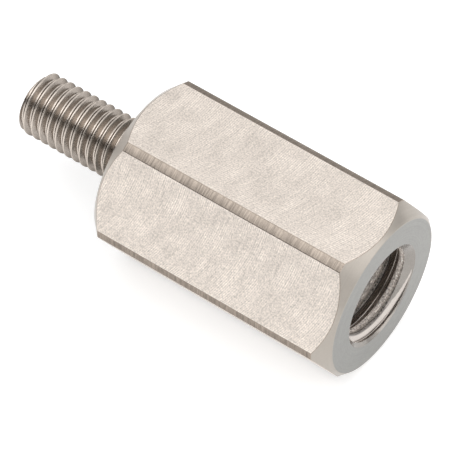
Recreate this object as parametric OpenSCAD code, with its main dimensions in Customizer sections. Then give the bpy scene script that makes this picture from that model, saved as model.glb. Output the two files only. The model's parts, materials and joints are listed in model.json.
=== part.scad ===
// Hex adapter: a threaded stud at one end, a tapped socket at the other,
// turned and milled from one round bar. The socket's thread is cut as a real helix,
// and the stud's fine thread is drawn as a plain cylinder at its outside diameter.

/* [Hexagon] */
// Distance across the hexagon's flats
across_flats = 12.7; // [9:0.1:24]
// How much of each sharp corner the round bar lacks
corner_trim = 0.187; // [0.05:0.001:0.6]
// Length of the hexagon, from the shoulder to the socket end
hex_len = 20.4; // [12:0.1:60]
// Length of the 45 degree chamfer turned on both ends of the hexagon
end_chamfer = 1.06; // [0.2:0.01:2]

/* [Stud] */
// Outside diameter of the stud's thread
stud_d = 4.83; // [3:0.01:8]
// Length of the stud, from the shoulder to its tip
stud_len = 9.72; // [4:0.01:40]
// Length of the 45 degree chamfer on the stud's tip
stud_tip = 0.25; // [0.05:0.01:1]

/* [Socket] */
// Inside diameter of the socket's thread
core_d = 6.9; // [4:0.01:7.5]
// Advance of the socket's thread in one turn
socket_pitch = 1.411; // [0.8:0.001:2]
// Depth of the socket's thread, from the mouth
socket_thread_len = 12; // [4:0.1:40]
// Radial width of the 90 degree countersink at the mouth
countersink_w = 0.605; // [0.1:0.005:1]
// Angle of the drill point at the bottom of the bore
point_angle = 118; // [90:1:140]
// Solid left between the drill point and the shoulder
web = 4.33; // [1:0.01:8]

/* [Hidden] */

// Facets of a full turn when drawn as a mesh
turn_fn = 128;
// How far a cut runs past the face that it opens
overrun = 0.2;
// Straight steps in one turn of a thread
thread_fn = 24;
// How far a thread's cutter stands clear of the surface that it cuts
thread_clear = 0.02;
// Depth and root width of the thread, as shares of its pitch
depth_share = 0.368;
root_share = 0.125;
// Angle between one flank of the thread and a plane across the axis
flank_angle = 30;
// Angle at which the thread's groove would meet the mouth
thread_turn = 74;

across_corners = across_flats * 2 / sqrt(3);
bar_r = across_corners / 2 - corner_trim;
face_r = bar_r - end_chamfer;
stud_r = stud_d / 2;
core_r = core_d / 2;
point_len = core_r / tan(point_angle / 2);
bore_bottom = web + point_len;
overall_len = stud_len + hex_len;
shoulder_x = stud_len - overall_len / 2;

// Bar, shoulder and stud in one turned profile, with the shoulder at height 0
module turned_bar() {
    rotate_extrude($fn = turn_fn)
        polygon([
            [0, -stud_len],
            [stud_r - stud_tip, -stud_len],
            [stud_r, stud_tip - stud_len],
            [stud_r, 0],
            [face_r, 0],
            [bar_r, end_chamfer],
            [bar_r, hex_len - end_chamfer],
            [face_r, hex_len],
            [0, hex_len],
        ]);
}

// The six milled flats, which clear the stud
module milled_flats() {
    translate([0, 0, -stud_len - overrun])
        rotate(30)
            cylinder(h = overall_len + 2 * overrun, d = across_corners, $fn = 6);
}

// Blind bore at the thread's inside diameter, with its drill point and countersink
module socket_bore() {
    rotate_extrude($fn = turn_fn)
        polygon([
            [0, web],
            [core_r, bore_bottom],
            [core_r, hex_len - countersink_w],
            [core_r + countersink_w + overrun, hex_len + overrun],
            [0, hex_len + overrun],
        ]);
}

// Cutter for the socket's thread: one groove profile carried round the bore, from its full depth past the mouth
module socket_groove() {
    inner_r = core_r - thread_clear;
    outer_r = core_r + depth_share * socket_pitch;
    outer_w = root_share * socket_pitch;
    inner_w = outer_w + 2 * (outer_r - inner_r) * tan(flank_angle);
    profile = [
        [inner_r, -inner_w / 2],
        [inner_r, inner_w / 2],
        [outer_r, outer_w / 2],
        [outer_r, -outer_w / 2],
    ];
    corners = len(profile);
    steps = floor((socket_thread_len / socket_pitch + 1) * thread_fn);
    points = [
        for (i = [0:steps])
            let (turn = 360 * i / thread_fn, rise = socket_pitch * (i - steps) / thread_fn + socket_pitch)
                for (p = profile) [p[0] * cos(turn), p[0] * sin(turn), p[1] + rise]
    ];
    sides = [
        for (i = [0:steps - 1])
            for (k = [0:corners - 1])
                let (a = corners * i + k, b = corners * i + (k + 1) % corners)
                    each [[a, a + corners, b], [b, a + corners, b + corners]]
    ];
    first_end = [for (k = [0:corners - 1]) k];
    last_end = [for (k = [corners - 1:-1:0]) corners * steps + k];
    translate([0, 0, hex_len])
        rotate(thread_turn - 360 * steps / thread_fn)
            polyhedron(points, concat(sides, [first_end, last_end]));
}

// The part lies on one flat, with the stud towards -X and the socket's mouth towards +X
module hex_adapter() {
    color("silver")
        translate([shoulder_x, 0, across_flats / 2])
            rotate([0, 90, 0])
                difference() {
                    intersection() {
                        turned_bar();
                        milled_flats();
                    }
                    socket_bore();
                    socket_groove();
                }
}

hex_adapter();
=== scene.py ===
import json
import math

import bmesh
import bpy
from mathutils import Matrix, Vector


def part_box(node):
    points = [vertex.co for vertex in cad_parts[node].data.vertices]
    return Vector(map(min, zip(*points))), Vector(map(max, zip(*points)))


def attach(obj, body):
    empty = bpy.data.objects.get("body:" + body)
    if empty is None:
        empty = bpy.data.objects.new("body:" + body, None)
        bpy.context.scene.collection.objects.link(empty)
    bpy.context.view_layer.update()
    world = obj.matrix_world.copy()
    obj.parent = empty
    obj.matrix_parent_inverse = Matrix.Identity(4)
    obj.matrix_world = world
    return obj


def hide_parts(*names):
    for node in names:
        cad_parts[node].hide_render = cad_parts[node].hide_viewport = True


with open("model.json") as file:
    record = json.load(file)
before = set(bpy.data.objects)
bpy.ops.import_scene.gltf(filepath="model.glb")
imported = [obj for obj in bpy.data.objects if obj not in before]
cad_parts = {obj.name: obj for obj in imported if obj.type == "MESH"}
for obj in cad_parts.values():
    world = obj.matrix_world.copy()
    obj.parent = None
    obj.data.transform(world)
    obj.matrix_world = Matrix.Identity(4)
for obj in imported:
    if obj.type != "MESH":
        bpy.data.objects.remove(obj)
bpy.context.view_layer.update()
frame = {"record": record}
mm = 0.001
sameSpot = 0.001 * mm  # points closer than this are one point
noLimit = 1.0  # a radius that cuts nothing

# real sizes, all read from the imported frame
nodeName = "hex_adapter"
low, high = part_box(nodeName)
mounts = {m["name"]: m for m in frame["record"]["mounts"]}
axisZ = (low.z + high.z) / 2
halfFlats = (high.z - low.z) / 2
barRadius = (high.y - low.y) / 2
inset = 0.001 * mm  # keeps the skin just inside the CAD box
tipX, mouthX = low.x + inset, high.x - inset
shoulderX = mounts["shoulder_face"]["pos_m"][0]
studRadius = mounts["stud_thread"]["dims"]["r_mm"] * mm
coreRadius = mounts["socket_thread"]["dims"]["r_mm"] * mm
print("sizes read: hexagon", round(halfFlats * 2 / mm, 2), "mm across flats")

hexBody = {
    "endChamfer": 1.06 * mm,  # 45 degree chamfer on both ends of the bar
    "edgeBreak": 0.03 * mm,  # how far each machined edge is broken, along both faces
    "wearAndHighlightWidth": 0.2 * mm,  # how far the painted edge highlight and the wear reach from an edge
    "flatColumns": 36,
    "stripColumns": 8,
    "sharpAngle": 12,  # degrees, edges above it stay sharp
}
studThread = {
    "pitch": 0.71 * mm,
    "depth": 0.37 * mm,
    "outerFlat": 0.125,  # shares of the pitch
    "flank": 0.375,
    "phase": 0.652,
    "columns": 120,
    "rowsPerTurn": 16,
    "tipChamfer": 0.25 * mm,
    "runOut": 0.25 * mm,
}
socketThread = {
    "pitch": 1.411 * mm,
    "outerRadius": 3.969 * mm,
    "outerFlat": 0.125,
    "flank": 0.21,
    "phase": 0.451,
    "columns": 120,
    "rowsPerTurn": 48,
    "rimRadius": 4.055 * mm,
    "threadLength": 12.0 * mm,
    "runOut": 1.4 * mm,
    "seamDepth": 0.06 * mm,  # groove along the crest
    "seamWidth": 0.16,
    "boreLength": 14.0 * mm,  # full-width bore, measured from the mouth
    "pointAngle": 118,
    "drillTip": 0.1 * mm,  # radius of the blunt tip of the drill's point
}


def link(tree, a, b):
    tree.links.new(a, b)


def feed(tree, socket, value):
    if isinstance(value, bpy.types.NodeSocket):
        tree.links.new(value, socket)
    else:
        socket.default_value = value


def sums(tree, operation, *values):  # one math node, fed with sockets or numbers
    node = tree.nodes.new("ShaderNodeMath")
    node.operation = operation
    for socket, value in zip(node.inputs, values):
        feed(tree, socket, value)
    return node.outputs[0]


def ramp01(tree, value, start, end, smooth=False):  # 0 at start, 1 at end, clamped
    node = tree.nodes.new("ShaderNodeMapRange")
    node.interpolation_type = "SMOOTHSTEP" if smooth else "LINEAR"
    feed(tree, node.inputs["Value"], value)
    feed(tree, node.inputs["From Min"], start)
    feed(tree, node.inputs["From Max"], end)
    return node.outputs[0]


def blendValues(tree, factor, a, b):
    node = tree.nodes.new("ShaderNodeMix")
    node.data_type = "FLOAT"
    feed(tree, node.inputs["Factor"], factor)
    feed(tree, node.inputs["A"], a)
    feed(tree, node.inputs["B"], b)
    return node.outputs[0]


# a screw thread as a sheared grid: its rows follow the helix, so crests and roots are clean edges
def buildThreadTree():
    tree = bpy.data.node_groups.new("screwThread", "GeometryNodeTree")
    sockets = tree.interface
    sockets.new_socket("Geometry", in_out="INPUT", socket_type="NodeSocketGeometry")
    floats = ("Start", "Direction", "Axis Height", "Length", "Pitch", "Outer Radius", "Depth",
              "Outer Flat", "Flank", "Phase", "Tip Radius", "Rim Radius", "Run Out", "Run Out Radius",
              "Seam Depth", "Seam Width")
    for name in floats:
        sockets.new_socket(name, in_out="INPUT", socket_type="NodeSocketFloat")
    for name in ("Columns", "Rows", "Rows Per Turn"):
        sockets.new_socket(name, in_out="INPUT", socket_type="NodeSocketInt")
    sockets.new_socket("Material", in_out="INPUT", socket_type="NodeSocketMaterial")
    sockets.new_socket("Geometry", in_out="OUTPUT", socket_type="NodeSocketGeometry")
    given = tree.nodes.new("NodeGroupInput").outputs
    grid = tree.nodes.new("GeometryNodeMeshGrid")
    grid.inputs["Size X"].default_value = 1
    grid.inputs["Size Y"].default_value = 1
    link(tree, sums(tree, "ADD", given["Rows"], 1), grid.inputs["Vertices X"])
    link(tree, sums(tree, "ADD", given["Columns"], 1), grid.inputs["Vertices Y"])
    place = tree.nodes.new("ShaderNodeSeparateXYZ")
    link(tree, tree.nodes.new("GeometryNodeInputPosition").outputs[0], place.inputs[0])
    # along the thread in turns, then in metres, held between the two ends
    row = sums(tree, "MULTIPLY", sums(tree, "ADD", place.outputs["X"], 0.5),
               sums(tree, "DIVIDE", given["Rows"], given["Rows Per Turn"]))
    around = sums(tree, "ADD", place.outputs["Y"], 0.5)
    turns = sums(tree, "SUBTRACT", sums(tree, "ADD", row, around), 1)
    along = sums(tree, "MAXIMUM", sums(tree, "MULTIPLY", turns, given["Pitch"]), 0)
    along = sums(tree, "MINIMUM", along, given["Length"])
    # distance from the middle of the outer flat, in pitches
    wave = sums(tree, "SUBTRACT", sums(tree, "DIVIDE", along, given["Pitch"]), around)
    wave = sums(tree, "ADD", wave, given["Phase"])
    aside = sums(tree, "FRACT", wave)
    wave = sums(tree, "FRACT", sums(tree, "ADD", wave, 0.5))
    off = sums(tree, "ABSOLUTE", sums(tree, "SUBTRACT", wave, 0.5))
    flatEnd = sums(tree, "MULTIPLY", given["Outer Flat"], 0.5)
    sunk = ramp01(tree, off, flatEnd, sums(tree, "ADD", flatEnd, given["Flank"]))
    radius = sums(tree, "SUBTRACT", given["Outer Radius"], sums(tree, "MULTIPLY", sunk, given["Depth"]))
    fromMiddle = sums(tree, "SUBTRACT", 0.5, off)
    seam = sums(tree, "SUBTRACT", 1, ramp01(tree, fromMiddle, 0, given["Seam Width"], smooth=True))
    radius = sums(tree, "ADD", radius, sums(tree, "MULTIPLY", seam, given["Seam Depth"]))
    started = ramp01(tree, along, 0, given["Run Out"], smooth=True)
    radius = blendValues(tree, started, given["Run Out Radius"], radius)
    # chamfered tip of a stud, countersunk rim of a socket
    toEnd = sums(tree, "SUBTRACT", given["Length"], along)
    radius = sums(tree, "MINIMUM", radius, sums(tree, "ADD", given["Tip Radius"], toEnd))
    rim = sums(tree, "SUBTRACT", given["Rim Radius"], toEnd)
    onRim = sums(tree, "GREATER_THAN", rim, radius)
    onRim = sums(tree, "MAXIMUM", onRim, sums(tree, "SUBTRACT", 1, started))  # plain where it runs out too
    radius = sums(tree, "MAXIMUM", radius, rim)
    angle = sums(tree, "MULTIPLY", sums(tree, "MULTIPLY", around, 2 * math.pi), given["Direction"])
    spot = tree.nodes.new("ShaderNodeCombineXYZ")
    forward = sums(tree, "MULTIPLY", along, given["Direction"])
    link(tree, sums(tree, "ADD", given["Start"], forward), spot.inputs["X"])
    link(tree, sums(tree, "MULTIPLY", radius, sums(tree, "COSINE", angle)), spot.inputs["Y"])
    height = sums(tree, "MULTIPLY", radius, sums(tree, "SINE", angle))
    link(tree, sums(tree, "ADD", height, given["Axis Height"]), spot.inputs["Z"])
    # where each point lies in the profile, kept for the finish before the grid is rolled up
    current = grid.outputs["Mesh"]
    for name, value in (("sunk", sunk), ("onRim", onRim), ("aside", aside)):
        store = tree.nodes.new("GeometryNodeStoreNamedAttribute")
        store.inputs["Name"].default_value = name
        link(tree, current, store.inputs["Geometry"])
        link(tree, value, store.inputs["Value"])
        current = store.outputs[0]
    move = tree.nodes.new("GeometryNodeSetPosition")
    link(tree, current, move.inputs["Geometry"])
    link(tree, spot.outputs[0], move.inputs["Position"])
    weld = tree.nodes.new("GeometryNodeMergeByDistance")
    weld.inputs["Distance"].default_value = sameSpot
    link(tree, move.outputs[0], weld.inputs["Geometry"])
    real = tree.nodes.new("GeometryNodeRealizeInstances")
    link(tree, weld.outputs[0], real.inputs[0])
    paint = tree.nodes.new("GeometryNodeSetMaterial")
    link(tree, real.outputs[0], paint.inputs["Geometry"])
    link(tree, given["Material"], paint.inputs["Material"])
    link(tree, paint.outputs[0], tree.nodes.new("NodeGroupOutput").inputs[0])
    return tree


def makeThread(name, tree, values):
    piece = bpy.data.objects.new(name, bpy.data.meshes.new(name))
    bpy.context.scene.collection.objects.link(piece)
    modifier = piece.modifiers.new("thread", "NODES")
    modifier.node_group = tree
    identifiers = {s.name: s.identifier for s in tree.interface.items_tree if s.in_out == "INPUT"}
    for key, value in values.items():
        modifier[identifiers[key]] = value
    evaluated = piece.evaluated_get(bpy.context.evaluated_depsgraph_get())
    solid = bpy.data.meshes.new_from_object(evaluated)
    piece.modifiers.remove(modifier)
    piece.data = solid
    print(name, "made:", len(solid.polygons), "faces")
    return piece


def rowsFor(length, thread):
    return thread["rowsPerTurn"] * math.ceil(length / thread["pitch"] + 1)


# finishes, filled in below
finishes = {}
for finish in ("milledFlat", "turnedCorner", "turnedChamfer", "facedEnd", "brokenEdge", "studThread",
               "tappedThread"):
    finishes[finish] = bpy.data.materials.new(finish)
finishOrder = list(finishes)


# hexagon cut from round bar: one ring of points for each line round the part
def buildHexBody(sizes):
    edge = sizes["edgeBreak"]
    faceRadius = barRadius - sizes["endChamfer"]
    corner = math.acos(halfFlats / barRadius)  # angle from a flat's middle to its edge
    edgeTurn = edge / barRadius
    angles, kinds = [], []
    for side in range(6):
        middle = math.radians(60 * side)
        for i in range(sizes["flatColumns"] + 1):
            share = 2 * i / sizes["flatColumns"] - 1
            angles.append(middle + share * (corner - edgeTurn))
            kinds.append("flat")
        strip = math.radians(60) - 2 * (corner + edgeTurn)
        for i in range(sizes["stripColumns"] + 1):
            angles.append(middle + corner + edgeTurn + strip * i / sizes["stripColumns"])
            kinds.append("strip")
    body = bmesh.new()
    placeLayer = body.verts.layers.float_vector.new("place")  # along, across and which side, in mm
    edgeLayer = body.verts.layers.float.new("edge")
    rings = []

    def addRing(place, edgeRing=True):
        ring = []
        for i, (angle, kind) in enumerate(zip(angles, kinds)):
            turn = (angle + math.radians(30)) % math.radians(60) - math.radians(30)
            outer = halfFlats / math.cos(turn) if kind == "flat" else barRadius
            x, radius = place(outer)
            point = body.verts.new((x, radius * math.sin(angle), axisZ + radius * math.cos(angle)))
            across = halfFlats * math.tan(turn) if kind == "flat" else barRadius * angle
            point[placeLayer] = (x / mm, across / mm, round((angle - turn) / math.radians(60)))
            besideCorner = kind != kinds[i - 1] or kind != kinds[(i + 1) % len(kinds)]
            point[edgeLayer] = 1.0 if edgeRing or besideCorner else 0.0
            ring.append(point)
        rings.append(ring)

    slant = edge * math.sqrt(0.5)
    wearAndHighlightWidth = sizes["wearAndHighlightWidth"]
    rimRadius = socketThread["rimRadius"] + edge
    addRing(lambda outer: (mouthX, rimRadius))
    addRing(lambda outer: (mouthX, faceRadius - edge))
    addRing(lambda outer: (mouthX - slant, faceRadius + slant))
    addRing(lambda outer: (mouthX - (outer - faceRadius) + slant, outer - slant))
    addRing(lambda outer: (mouthX - (outer - faceRadius) - edge, outer))
    addRing(lambda outer: (mouthX - (outer - faceRadius) - wearAndHighlightWidth, outer), edgeRing=False)
    addRing(lambda outer: (shoulderX + (outer - faceRadius) + wearAndHighlightWidth, outer), edgeRing=False)
    addRing(lambda outer: (shoulderX + (outer - faceRadius) + edge, outer))
    addRing(lambda outer: (shoulderX + (outer - faceRadius) - slant, outer - slant))
    addRing(lambda outer: (shoulderX + slant, faceRadius + slant))
    addRing(lambda outer: (shoulderX, faceRadius - edge))
    sideRows = (4, 5, 6)
    faceRows = (0, 9)
    edgeRows = (3, 7)
    for row in range(len(rings) - 1):
        for i in range(len(angles)):
            j = (i + 1) % len(angles)
            quad = body.faces.new((rings[row][i], rings[row][j], rings[row + 1][j], rings[row + 1][i]))
            look = "facedEnd" if row in faceRows else "turnedChamfer"
            if row in edgeRows:
                look = "brokenEdge"
            if row in sideRows:
                look = "milledFlat" if kinds[i] == kinds[j] == "flat" else "turnedCorner"
            quad.material_index = finishOrder.index(look)
    mesh = bpy.data.meshes.new("hexBody")
    body.to_mesh(mesh)
    body.free()
    piece = bpy.data.objects.new("hexAdapter", mesh)
    bpy.context.scene.collection.objects.link(piece)
    print("hexagon made:", len(mesh.polygons), "faces")
    return piece


threadTree = buildThreadTree()
adapter = buildHexBody(hexBody)
for material in finishes.values():
    adapter.data.materials.append(material)
studLength = shoulderX - tipX
stud = makeThread("studThread", threadTree, {
    "Start": shoulderX, "Direction": -1.0, "Axis Height": axisZ, "Length": studLength,
    "Pitch": studThread["pitch"], "Outer Radius": studRadius, "Depth": studThread["depth"],
    "Outer Flat": studThread["outerFlat"], "Flank": studThread["flank"], "Phase": studThread["phase"],
    "Tip Radius": studRadius - studThread["tipChamfer"], "Rim Radius": 0.0,
    "Run Out": studThread["runOut"], "Run Out Radius": studRadius, "Seam Depth": 0.0, "Seam Width": 0.1,
    "Columns": studThread["columns"], "Rows": rowsFor(studLength, studThread),
    "Rows Per Turn": studThread["rowsPerTurn"], "Material": finishes["studThread"],
})
socketDepth = socketThread["threadLength"]
socket = makeThread("socketThread", threadTree, {
    "Start": mouthX - socketDepth, "Direction": 1.0, "Axis Height": axisZ, "Length": socketDepth,
    "Pitch": socketThread["pitch"], "Outer Radius": socketThread["outerRadius"],
    "Depth": socketThread["outerRadius"] - coreRadius, "Outer Flat": socketThread["outerFlat"],
    "Flank": socketThread["flank"], "Phase": socketThread["phase"], "Tip Radius": noLimit,
    "Rim Radius": socketThread["rimRadius"], "Run Out": socketThread["runOut"],
    "Run Out Radius": coreRadius, "Seam Depth": socketThread["seamDepth"],
    "Seam Width": socketThread["seamWidth"],
    "Columns": socketThread["columns"], "Rows": rowsFor(socketDepth, socketThread),
    "Rows Per Turn": socketThread["rowsPerTurn"], "Material": finishes["tappedThread"],
})


def aroundAxis(point):
    return math.atan2(point.co.z - axisZ, point.co.y)


# flat ring of triangles between two circles with any number of points, in order of angle
def stitchRings(solid, edges, material):
    points = sorted({v for e in edges for v in e.verts}, key=aroundAxis)
    sizes = [math.hypot(v.co.y, v.co.z - axisZ) for v in points]
    middle = (min(sizes) + max(sizes)) / 2
    inner = [v for v, size in zip(points, sizes) if size < middle]
    outer = [v for v, size in zip(points, sizes) if size >= middle]
    ends = [math.pi, 3 * math.pi]  # back at the first point, then nothing left
    innerAngles = [aroundAxis(v) for v in inner] + ends
    outerAngles = [aroundAxis(v) for v in outer] + ends
    i, j = 0, 0
    while i < len(inner) or j < len(outer):
        first, second = inner[i % len(inner)], outer[j % len(outer)]
        if innerAngles[i + 1] <= outerAngles[j + 1]:
            i += 1
            third = inner[i % len(inner)]
        else:
            j += 1
            third = outer[j % len(outer)]
        solid.faces.new((first, third, second)).material_index = material


# joins the three skins into one closed solid and closes the tip and the bottom of the bore
def closeSolid(piece, others):
    with bpy.context.temp_override(active_object=piece, selected_editable_objects=[piece] + others):
        bpy.ops.object.join()
    solid = bmesh.new()
    solid.from_mesh(piece.data)
    gaps = [e for e in solid.edges if e.is_boundary]
    where = {"tip": tipX, "shoulder": shoulderX, "mouth": mouthX, "bore": mouthX - socketDepth}
    loops = {}
    for key, x in where.items():
        loops[key] = [e for e in gaps if all(abs(v.co.x - x) < sameSpot for v in e.verts)]
    facedIndex = finishOrder.index("facedEnd")
    tappedIndex = finishOrder.index("tappedThread")
    for key in ("shoulder", "mouth"):
        stitchRings(solid, loops[key], facedIndex)
    tip = solid.verts.new((tipX, 0, axisZ), loops["tip"][0].verts[0])
    for e in loops["tip"]:
        solid.faces.new((e.verts[0], e.verts[1], tip)).material_index = facedIndex
    # plain bore below the thread, then the drill's point with its small blunt tip
    boreX = mouthX - socketThread["boreLength"]
    drillTip = socketThread["drillTip"]
    pointX = boreX - (coreRadius - drillTip) / math.tan(math.radians(socketThread["pointAngle"] / 2))
    ring = loops["bore"]
    for x, radius in ((boreX, coreRadius), (pointX, drillTip)):
        grown = bmesh.ops.extrude_edge_only(solid, edges=ring)["geom"]
        ring = [e for e in grown if isinstance(e, bmesh.types.BMEdge)]
        for v in {v for e in ring for v in e.verts}:
            spread = radius / math.hypot(v.co.y, v.co.z - axisZ)
            v.co = (x, v.co.y * spread, axisZ + (v.co.z - axisZ) * spread)
        for f in grown:
            if isinstance(f, bmesh.types.BMFace):
                f.material_index = tappedIndex
    point = solid.verts.new((pointX, 0, axisZ), ring[0].verts[0])
    for e in ring:
        solid.faces.new((e.verts[0], e.verts[1], point)).material_index = tappedIndex
    bmesh.ops.recalc_face_normals(solid, faces=solid.faces)
    openEdges = sum(1 for e in solid.edges if not e.is_manifold)
    solid.to_mesh(piece.data)
    solid.free()
    print("solid closed, open edges left:", openEdges)


closeSolid(adapter, [stud, socket])
for polygon in adapter.data.polygons:
    polygon.use_smooth = True
adapter.data.set_sharp_from_angle(angle=math.radians(hexBody["sharpAngle"]))
weighted = adapter.modifiers.new("evenShading", "WEIGHTED_NORMAL")
weighted.keep_sharp = True


# shader helpers: each returns a socket
def newGroup(name, inputs, outputs):
    tree = bpy.data.node_groups.new(name, "ShaderNodeTree")
    for key, kind in inputs:
        tree.interface.new_socket(key, in_out="INPUT", socket_type=kind)
    for key in outputs:
        tree.interface.new_socket(key, in_out="OUTPUT", socket_type="NodeSocketFloat")
    return tree, tree.nodes.new("NodeGroupInput").outputs, tree.nodes.new("NodeGroupOutput").inputs


def noise(tree, vector, size, detail, roughness):  # size in the vector's own unit
    node = tree.nodes.new("ShaderNodeTexNoise")
    feed(tree, node.inputs["Vector"], vector)
    feed(tree, node.inputs["Scale"], sums(tree, "DIVIDE", 1, size))
    node.inputs["Detail"].default_value = detail
    node.inputs["Roughness"].default_value = roughness
    return node.outputs["Fac"]


def vectorOf(tree, x, y, z):
    node = tree.nodes.new("ShaderNodeCombineXYZ")
    for socket, value in zip(node.inputs, (x, y, z)):
        feed(tree, socket, value)
    return node.outputs[0]


def splitVector(tree, vector):
    node = tree.nodes.new("ShaderNodeSeparateXYZ")
    link(tree, vector, node.inputs[0])
    return node.outputs


def useGroup(tree, group, values):
    node = tree.nodes.new("ShaderNodeGroup")
    node.node_tree = group
    for key, value in values.items():
        feed(tree, node.inputs[key], value)
    return node.outputs


sharedEffects = {
    "cloudsToSpecks": 12,  # how much larger the clouds are
    "lineStretch": 0.06,  # less makes the cutter's lines longer
    "wearAndHighlightSize": 0.5,
    "wearAndHighlightRange": (0.35, 0.65),
}

# grain of the metal: fine specks and broad clouds, both about 0.5
grainInputs = (("Vector", "NodeSocketVector"), ("Size", "NodeSocketFloat"))
grainGroup, given, made = newGroup("steelGrain", grainInputs, ("Specks", "Clouds"))
specks = noise(grainGroup, given["Vector"], given["Size"], detail=3.0, roughness=0.65)
link(grainGroup, specks, made["Specks"])
cloudSize = sums(grainGroup, "MULTIPLY", given["Size"], sharedEffects["cloudsToSpecks"])
clouds = noise(grainGroup, given["Vector"], cloudSize, detail=2.0, roughness=0.5)
link(grainGroup, clouds, made["Clouds"])

# marks left by a cutter: thin lines that run far across and change quickly along
marksInputs = (("Along", "NodeSocketFloat"), ("Across", "NodeSocketFloat"), ("Spacing", "NodeSocketFloat"))
marksGroup, given, made = newGroup("cutterMarks", marksInputs, ("Lines",))
shortAcross = sums(marksGroup, "MULTIPLY", given["Across"], sharedEffects["lineStretch"])
stretched = vectorOf(marksGroup, given["Along"], shortAcross, 0)
lines = noise(marksGroup, stretched, given["Spacing"], detail=2.0, roughness=0.6)
link(marksGroup, lines, made["Lines"])

# worn edges with a painted highlight: the edge attribute, broken up by noise
wearAndHighlightInputs = (("Edge", "NodeSocketFloat"), ("Vector", "NodeSocketVector"))
wearAndHighlightGroup, given, made = newGroup("wearAndHighlightEdge", wearAndHighlightInputs, ("Mask",))
broken = noise(wearAndHighlightGroup, given["Vector"], sharedEffects["wearAndHighlightSize"], detail=3.0, roughness=0.6)
broken = ramp01(wearAndHighlightGroup, broken, *sharedEffects["wearAndHighlightRange"])
near = sums(wearAndHighlightGroup, "POWER", given["Edge"], 2)
link(wearAndHighlightGroup, sums(wearAndHighlightGroup, "MULTIPLY", near, broken), made["Mask"])


def attribute(tree, name):
    node = tree.nodes.new("ShaderNodeAttribute")
    node.attribute_name = name
    return node


def surfaceVector(tree):  # object coordinates in mm, with the axis of the part as origin
    node = tree.nodes.new("ShaderNodeVectorMath")
    node.operation = "MULTIPLY_ADD"
    link(tree, tree.nodes.new("ShaderNodeTexCoord").outputs["Object"], node.inputs[0])
    node.inputs[1].default_value = (1 / mm, 1 / mm, 1 / mm)
    node.inputs[2].default_value = (0, 0, -axisZ / mm)
    return node.outputs[0]


def shaded(tree, colour, *changes):  # a colour made lighter or darker by (value about 0.5, amount) pairs
    factor = 1.0
    for value, amount in changes:
        change = sums(tree, "MULTIPLY", sums(tree, "SUBTRACT", value, 0.5), amount)
        factor = sums(tree, "ADD", factor, change)
    node = tree.nodes.new("ShaderNodeVectorMath")
    node.operation = "SCALE"
    node.inputs[0].default_value = colour
    link(tree, factor, node.inputs["Scale"])
    return node.outputs[0]


def bumped(tree, height, depth):  # depth of the relief in mm
    node = tree.nodes.new("ShaderNodeBump")
    node.inputs["Distance"].default_value = depth * mm
    feed(tree, node.inputs["Height"], height)
    return node.outputs[0]


def finishMaterial(name):
    material = finishes[name]
    material.use_nodes = True
    tree = material.node_tree
    shader = tree.nodes["Principled BSDF"]
    shader.inputs["Metallic"].default_value = 1
    return tree, shader


# in each finish, sizes are in mm, and lines, specks, clouds and so on say how much they change the colour
flatLook = {
    "colour": (0.752, 0.679, 0.613),
    "roughness": 0.36,
    "cutterRadius": 12.0,  # of the arcs on the flats
    "cutterOffset": 3.0,  # how far the arcs' middle lies beside a flat's middle
    "cutterSpacing": 0.17,
    "cutterFeed": 0.16,
    "sideShift": 37.0,  # gives each side other marks
    "grainSize": 0.12,
    "lines": 0.40,
    "specks": 1.35,
    "clouds": 0.35,
    # lighter along the edges: painted highlight and wear
    "wearAndHighlight": 0.12,
    "ripple": 0.13,
    "patchRange": (0.40, 0.60),  # where the even feed shows
    "relief": 0.004,
}


def milledFlat(look):
    tree, shader = finishMaterial("milledFlat")
    shader.inputs["Roughness"].default_value = look["roughness"]
    along, across, side = splitVector(tree, attribute(tree, "place").outputs["Vector"])
    beside = sums(tree, "SUBTRACT", across, look["cutterOffset"])
    reach = sums(tree, "SUBTRACT", look["cutterRadius"] ** 2, sums(tree, "MULTIPLY", beside, beside))
    arc = sums(tree, "SUBTRACT", along, sums(tree, "SQRT", reach))
    arc = sums(tree, "ADD", arc, sums(tree, "MULTIPLY", side, look["sideShift"]))
    marks = useGroup(tree, marksGroup, {"Along": arc, "Across": across, "Spacing": look["cutterSpacing"]})
    lines = marks["Lines"]
    spot = surfaceVector(tree)
    grain = useGroup(tree, grainGroup, {"Vector": spot, "Size": look["grainSize"]})
    edge = attribute(tree, "edge").outputs["Fac"]
    # painted highlight and wear along the flats' edges
    wearAndHighlight = useGroup(tree, wearAndHighlightGroup, {"Edge": edge, "Vector": spot})["Mask"]
    ripple = sums(tree, "SINE", sums(tree, "MULTIPLY", arc, 2 * math.pi / look["cutterFeed"]))
    patches = ramp01(tree, grain["Clouds"], *look["patchRange"])
    ripple = sums(tree, "MULTIPLY", ripple, patches)
    colour = shaded(tree, look["colour"], (lines, look["lines"]), (grain["Specks"], look["specks"]),
                    (grain["Clouds"], look["clouds"]), (sums(tree, "ADD", wearAndHighlight, 0.5), look["wearAndHighlight"]),
                    (sums(tree, "ADD", ripple, 0.5), look["ripple"]))
    link(tree, colour, shader.inputs["Base Color"])
    height = sums(tree, "ADD", lines, grain["Specks"])
    link(tree, bumped(tree, height, look["relief"]), shader.inputs["Normal"])


cornerLook = {
    # painted shade: the same steel as the flats, made darker for the darker reflections on the corners
    "colour": (0.308, 0.263, 0.224),
    "roughness": 0.26,
    "turningSpacing": 0.11,
    "grainSize": 0.15,
    "lines": 1.4,
    "specks": 0.40,
    "clouds": 0.35,
    "edgeTint": 0.5,  # darker where it turns away
    "relief": 0.004,
}


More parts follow.
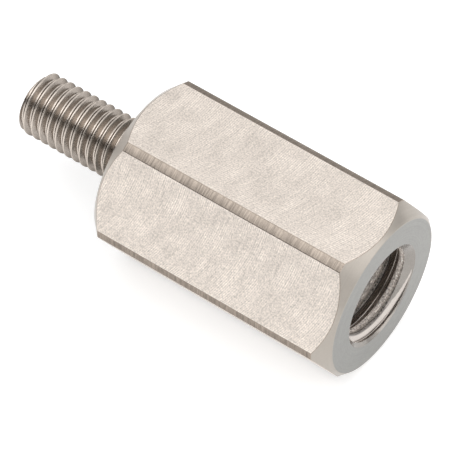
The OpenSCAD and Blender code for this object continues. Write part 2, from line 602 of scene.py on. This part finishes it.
def turnedCorner(look):
    tree, shader = finishMaterial("turnedCorner")
    shader.inputs["Roughness"].default_value = look["roughness"]
    along, across = splitVector(tree, attribute(tree, "place").outputs["Vector"])[:2]
    spacing = look["turningSpacing"]
    marks = useGroup(tree, marksGroup, {"Along": along, "Across": across, "Spacing": spacing})
    lines = marks["Lines"]
    grain = useGroup(tree, grainGroup, {"Vector": surfaceVector(tree), "Size": look["grainSize"]})
    colour = shaded(tree, look["colour"], (lines, look["lines"]), (grain["Specks"], look["specks"]),
                    (grain["Clouds"], look["clouds"]))
    link(tree, colour, shader.inputs["Base Color"])
    tint = look["edgeTint"]
    shader.inputs["Specular Tint"].default_value = (tint, tint, tint, 1)
    link(tree, bumped(tree, lines, look["relief"]), shader.inputs["Normal"])


turnedLook = {"turningSpacing": 0.10, "grainSize": 0.14, "clouds": 0.12, "relief": 0.003}  # all turned ends
# painted shade: chamfers, faced ends and broken edges are the flats' steel made darker, for the darker
# reflections they show
chamferLook = {"colour": (0.42, 0.383, 0.343), "roughness": 0.30, "lines": 0.15, "specks": 0.15}
faceLook = {"colour": (0.279, 0.275, 0.261), "roughness": 0.30, "lines": 0.30, "specks": 0.40}
edgeLook = {"colour": (0.38, 0.32, 0.27), "roughness": 0.40, "lines": 0.30, "specks": 1.4}


def turnedEnd(name, look, shared):  # rings round the part's axis
    tree, shader = finishMaterial(name)
    shader.inputs["Roughness"].default_value = look["roughness"]
    spot = surfaceVector(tree)
    y, z = splitVector(tree, spot)[1:]
    squares = sums(tree, "ADD", sums(tree, "MULTIPLY", y, y), sums(tree, "MULTIPLY", z, z))
    fromAxis = sums(tree, "SQRT", squares)
    angle = sums(tree, "ARCTAN2", y, z)
    spacing = shared["turningSpacing"]
    marks = useGroup(tree, marksGroup, {"Along": fromAxis, "Across": angle, "Spacing": spacing})
    lines = marks["Lines"]
    grain = useGroup(tree, grainGroup, {"Vector": spot, "Size": shared["grainSize"]})
    colour = shaded(tree, look["colour"], (lines, look["lines"]), (grain["Specks"], look["specks"]),
                    (grain["Clouds"], shared["clouds"]))
    link(tree, colour, shader.inputs["Base Color"])
    link(tree, bumped(tree, lines, shared["relief"]), shader.inputs["Normal"])


studLook = {
    "colour": (0.66, 0.588, 0.525),
    "roughnessRange": (-0.30, 3.0),  # specks at the first value are mirrors, at the second fully rough
    "flank": 0.36,  # painted shade: how much darker the flanks are than crest and root
    "flankStarts": (0.02, 0.12),  # shares of the depth where the flank fades in and out
    "flankEnds": (0.99, 0.90),
    "markSpacing": 0.12,
    "grainSize": 0.12,
    "lines": 0.20,
    "specks": 0.40,
    "clouds": 0.20,
    "edgeTint": 0.3,
    "relief": 0.006,
}


def studFinish(look):
    tree, shader = finishMaterial("studThread")
    spot = surfaceVector(tree)
    sunk = attribute(tree, "sunk").outputs["Fac"]  # 0 on the crest, 1 in the root
    # painted shade on the flanks, between the lighter crest and root
    flank = sums(tree, "MULTIPLY", ramp01(tree, sunk, *look["flankStarts"]),
                 ramp01(tree, sunk, *look["flankEnds"]))
    y, z = splitVector(tree, spot)[1:]
    angle = sums(tree, "ARCTAN2", y, z)
    marks = useGroup(tree, marksGroup, {"Along": sunk, "Across": angle, "Spacing": look["markSpacing"]})
    lines = marks["Lines"]
    grain = useGroup(tree, grainGroup, {"Vector": spot, "Size": look["grainSize"]})
    colour = shaded(tree, look["colour"], (lines, look["lines"]), (grain["Specks"], look["specks"]),
                    (grain["Clouds"], look["clouds"]), (sums(tree, "SUBTRACT", 0.5, flank), look["flank"]))
    link(tree, colour, shader.inputs["Base Color"])
    tint = look["edgeTint"]
    shader.inputs["Specular Tint"].default_value = (tint, tint, tint, 1)
    link(tree, ramp01(tree, grain["Specks"], *look["roughnessRange"]), shader.inputs["Roughness"])
    height = sums(tree, "ADD", lines, grain["Specks"])
    link(tree, bumped(tree, height, look["relief"]), shader.inputs["Normal"])


tappedLook = {
    "colour": (0.60, 0.55, 0.51),
    "rimColour": (0.325, 0.303, 0.280),  # the countersink, painted shade: the steel made darker, like the faced end
    "roughness": 0.22,
    "crestRoughness": 0.55,
    "grainSize": 0.15,
    "crestStarts": (0.93, 0.99),  # shares of the depth where the crest begins
    "tornRange": (0.32, 0.68),
    "torn": 1.1,  # specks on the torn crest
    "clouds": 0.25,
    "crest": 0.35,
    "paintedShadow": -0.75,  # painted shadow on the crest's side towards the mouth
    "paintedShadowStarts": (0.58, 0.64),  # shares of the pitch where it fades in and out
    "paintedShadowEnds": (0.79, 0.75),
    "rimSpecks": 0.10,
    "rimClouds": 0.15,
    "relief": 0.06,
}


def tappedFinish(look):
    tree, shader = finishMaterial("tappedThread")
    spot = surfaceVector(tree)
    grain = useGroup(tree, grainGroup, {"Vector": spot, "Size": look["grainSize"]})
    rim = attribute(tree, "onRim").outputs["Fac"]
    crest = ramp01(tree, attribute(tree, "sunk").outputs["Fac"], *look["crestStarts"])
    crest = sums(tree, "MULTIPLY", crest, sums(tree, "SUBTRACT", 1, rim))
    specks = ramp01(tree, grain["Specks"], *look["tornRange"])
    torn = blendValues(tree, crest, 0.5, specks)
    aside = attribute(tree, "aside").outputs["Fac"]  # 0.5 at the crest's middle, more towards the mouth
    # painted shadow along the crest's side towards the mouth
    paintedShadow = sums(tree, "MULTIPLY", ramp01(tree, aside, *look["paintedShadowStarts"]),
                ramp01(tree, aside, *look["paintedShadowEnds"]))
    wall = shaded(tree, look["colour"], (torn, look["torn"]), (grain["Clouds"], look["clouds"]),
                  (sums(tree, "ADD", crest, 0.5), look["crest"]),
                  (sums(tree, "ADD", paintedShadow, 0.5), look["paintedShadow"]))
    cone = shaded(tree, look["rimColour"], (specks, look["rimSpecks"]),
                  (grain["Clouds"], look["rimClouds"]))
    mix = tree.nodes.new("ShaderNodeMix")
    mix.data_type = "VECTOR"
    feed(tree, mix.inputs["Factor"], rim)
    link(tree, wall, mix.inputs["A"])
    link(tree, cone, mix.inputs["B"])
    link(tree, mix.outputs["Result"], shader.inputs["Base Color"])
    roughness = blendValues(tree, crest, look["roughness"], look["crestRoughness"])
    link(tree, roughness, shader.inputs["Roughness"])
    link(tree, bumped(tree, torn, look["relief"]), shader.inputs["Normal"])


milledFlat(flatLook)
turnedCorner(cornerLook)
turnedEnd("turnedChamfer", chamferLook, turnedLook)
turnedEnd("facedEnd", faceLook, turnedLook)
turnedEnd("brokenEdge", edgeLook, turnedLook)
studFinish(studLook)
tappedFinish(tappedLook)
print("finishes made")

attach(adapter, "root")
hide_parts(nodeName)

# camera at the photograph's place, turned a little aside so that the part sits as it does there
cameraLook = {
    "azimuth": 35.51,
    "elevation": 52.27,
    "distance": 267.6 * mm,
    "lens": 305.1,
    "target": (shoulderX + mouthX) / 2,
    "panRight": -2.632 * mm,
    "panUp": 0.239 * mm,
}


def placeCamera(look):
    az, el = math.radians(look["azimuth"]), math.radians(look["elevation"])
    back = Vector((math.sin(az) * math.cos(el), -math.cos(az) * math.cos(el), math.sin(el)))
    right = Vector((math.cos(az), math.sin(az), 0))
    up = back.cross(right)
    target = Vector((look["target"], 0, axisZ))
    spot = target + back * look["distance"]
    aim = target + right * look["panRight"] + up * look["panUp"]
    toward = (spot - aim).normalized()
    side = up.cross(toward).normalized()
    above = toward.cross(side)
    camera = bpy.data.objects.new("photoCamera", bpy.data.cameras.new("photoCamera"))
    bpy.context.scene.collection.objects.link(camera)
    turn = Matrix((side, above, toward)).transposed().to_4x4()
    camera.matrix_world = Matrix.Translation(spot) @ turn
    camera.data.sensor_width = 36
    camera.data.lens = look["lens"]
    camera.data.clip_start = 0.01
    bpy.context.scene.camera = camera
    print("camera placed")


placeCamera(cameraLook)

studio = {
    "floorRadius": 0.25,
    "floorColour": 0.6,
    "floorGlow": 0.58,  # lifts the floor to white where it is seen, its shadow stays
    # brightness of the surroundings by height, as (sine of the elevation, level)
    "front": ((0.0, 1.14), (0.22, 1.14), (0.42, 0.45), (0.54, 0.08), (0.69, 0.06), (0.75, 0.70),
              (0.80, 1.50), (0.85, 2.40), (1.0, 2.40)),
    "rear": ((0.0, 0.45), (0.05, 0.70), (0.13, 1.0), (0.24, 1.05), (0.40, 1.0), (0.58, 0.72), (0.72, 0.70),
             (0.83, 1.25), (1.0, 1.3)),
    "frontEnds": (-0.14, 0.20),  # where the front gives way to the rear, along Y
    "below": 0.35,
}


def makeFloor(light):
    disc = bmesh.new()
    bmesh.ops.create_circle(disc, cap_ends=True, radius=light["floorRadius"], segments=96)
    mesh = bpy.data.meshes.new("floor")
    disc.to_mesh(mesh)
    disc.free()
    floor = bpy.data.objects.new("floor", mesh)
    bpy.context.scene.collection.objects.link(floor)
    material = bpy.data.materials.new("paleFloor")
    material.use_nodes = True
    tree = material.node_tree
    shader = tree.nodes["Principled BSDF"]
    level = light["floorColour"]
    shader.inputs["Base Color"].default_value = (level, level, level, 1)
    shader.inputs["Roughness"].default_value = 1
    shader.inputs["Specular IOR Level"].default_value = 0
    shader.inputs["Emission Color"].default_value = (1, 1, 1, 1)
    rays = tree.nodes.new("ShaderNodeLightPath").outputs
    seen = sums(tree, "MAXIMUM", rays["Is Camera Ray"], rays["Is Glossy Ray"])
    seen = sums(tree, "MAXIMUM", seen, rays["Is Transmission Ray"])
    link(tree, sums(tree, "MULTIPLY", seen, light["floorGlow"]), shader.inputs["Emission Strength"])
    mesh.materials.append(material)
    print("floor made")


def heightRamp(tree, height, stops):
    node = tree.nodes.new("ShaderNodeValToRGB")
    ramp = node.color_ramp
    while len(ramp.elements) < len(stops):
        ramp.elements.new(1.0)
    for element, (place, level) in zip(ramp.elements, stops):
        element.position = place
        element.color = (level, level, level, 1)
    link(tree, height, node.inputs["Fac"])
    return node.outputs["Color"]


def makeStudio(light):
    world = bpy.data.worlds.new("studio")
    world.use_nodes = True
    tree = world.node_tree
    y, z = splitVector(tree, tree.nodes.new("ShaderNodeTexCoord").outputs["Generated"])[1:]
    rear = ramp01(tree, y, *light["frontEnds"], smooth=True)
    front, back = heightRamp(tree, z, light["front"]), heightRamp(tree, z, light["rear"])
    level = blendValues(tree, rear, front, back)
    above = sums(tree, "GREATER_THAN", z, 0)
    level = blendValues(tree, above, light["below"], level)
    link(tree, level, tree.nodes["Background"].inputs["Strength"])
    tree.nodes["Background"].inputs["Color"].default_value = (1, 1, 1, 1)
    bpy.context.scene.world = world
    print("studio made")


sideLamp = {
    "toward": (0.87, 0.20, 0.43),  # direction from the part
    "distance": 0.45,
    "size": 0.34,
    "watts": 0.28,
}


def makeLamp(lamp):
    light = bpy.data.lights.new("sideLamp", "AREA")
    light.size = lamp["size"]
    light.energy = lamp["watts"]
    toward = Vector(lamp["toward"]).normalized()
    piece = bpy.data.objects.new("sideLamp", light)
    piece.location = Vector((0, 0, axisZ)) + toward * lamp["distance"]
    piece.rotation_euler = toward.to_track_quat("Z", "Y").to_euler()
    bpy.context.scene.collection.objects.link(piece)
    print("lamp placed")


makeFloor(studio)
makeStudio(studio)
makeLamp(sideLamp)
bpy.context.scene.view_settings.view_transform = "Standard"
